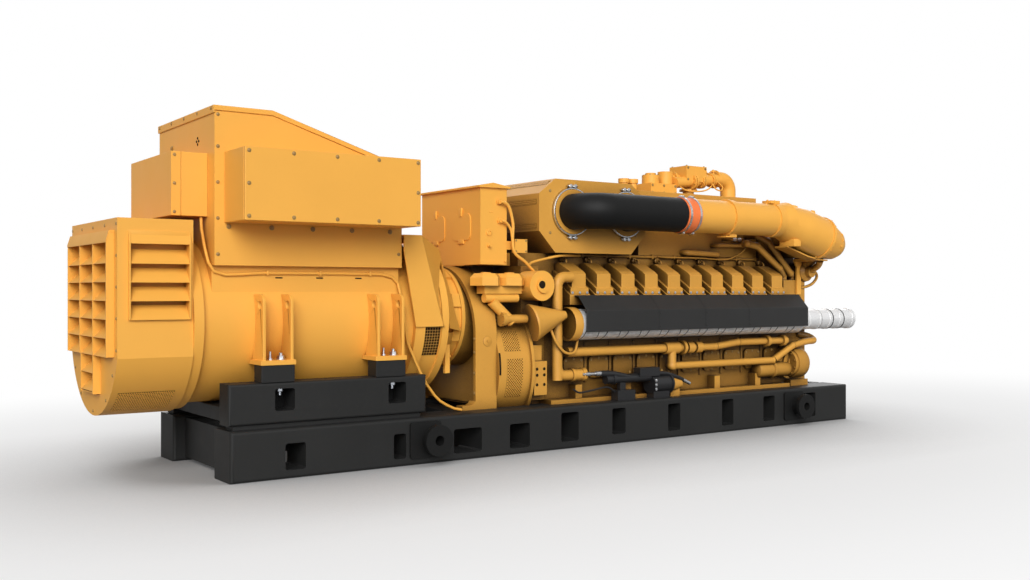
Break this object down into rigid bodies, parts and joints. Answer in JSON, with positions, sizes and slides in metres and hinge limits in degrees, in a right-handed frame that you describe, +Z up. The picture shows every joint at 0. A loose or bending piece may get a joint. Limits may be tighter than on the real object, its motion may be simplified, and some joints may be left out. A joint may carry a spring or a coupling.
{
  "type": "stationary engine generator set",
  "caption": "Stationary generator set: alternator with louvred hood and terminal box, vee engine with air cleaner, intake pipes and exhaust shields, on a black twin-rail base.",
  "frame": {"origin": "middle of the overall length and width, on the floor under the base rails", "axes": "+X from the alternator inlet end to the engine front end, +Y to the far side of the picture, +Z up"},
  "size_m": [7.35, 1.966, 2.552],
  "materials": {
    "yellow_paint": "satin",
    "black_paint": "satin",
    "shield_paint": "satin",
    "pipe_black": "satin",
    "hose_orange": "satin",
    "clamp_steel": "satin",
    "lagging_foil": "satin",
    "outlet_steel": "satin",
    "starter_black": "satin"
  },
  "bodies": {
    "root": {"base_rail_near": "black_paint", "base_rail_far": "black_paint", "base_cross_members": "black_paint", "riser_rail_near": "black_paint", "riser_rail_far": "black_paint", "lifting_posts": "black_paint", "alternator_blocks": "black_paint", "alternator_feet": "yellow_paint", "alternator_frame": "yellow_paint", "inlet_hood": "yellow_paint", "end_grille": "yellow_paint", "side_louvers": "yellow_paint", "terminal_box": "yellow_paint", "terminal_box_lid": "yellow_paint", "side_cover_near": "yellow_paint", "side_cover_far": "yellow_paint", "end_box": "yellow_paint", "outlet_hood": "yellow_paint", "drive_end_bracket": "yellow_paint", "flywheel_housing": "yellow_paint", "coupling_guard": "yellow_paint", "rear_housing": "yellow_paint", "engine_block": "yellow_paint", "oil_pan": "yellow_paint", "engine_feet": "yellow_paint", "crankcase_doors": "yellow_paint", "cylinder_heads": "yellow_paint", "valve_covers_near": "yellow_paint", "valve_covers_far": "yellow_paint", "exhaust_lagging": "lagging_foil", "exhaust_outlets": "outlet_steel", "heat_shield_near": "shield_paint", "heat_shield_far": "shield_paint", "valley_housing": "yellow_paint", "control_box": "yellow_paint", "control_box_lid": "yellow_paint", "air_cleaner": "yellow_paint", "intake_pipes": "pipe_black", "intake_hoses": "hose_orange", "intake_clamps": "clamp_steel", "intake_ducts": "yellow_paint", "intake_noses": "yellow_paint", "turbo_housing": "yellow_paint", "fuel_train": "yellow_paint", "oil_filters": "yellow_paint", "coolant_pipes": "yellow_paint", "front_housing": "yellow_paint", "starter_motor": "starter_black", "wiring_conduits": "yellow_paint"}
  },
  "joints": []
}
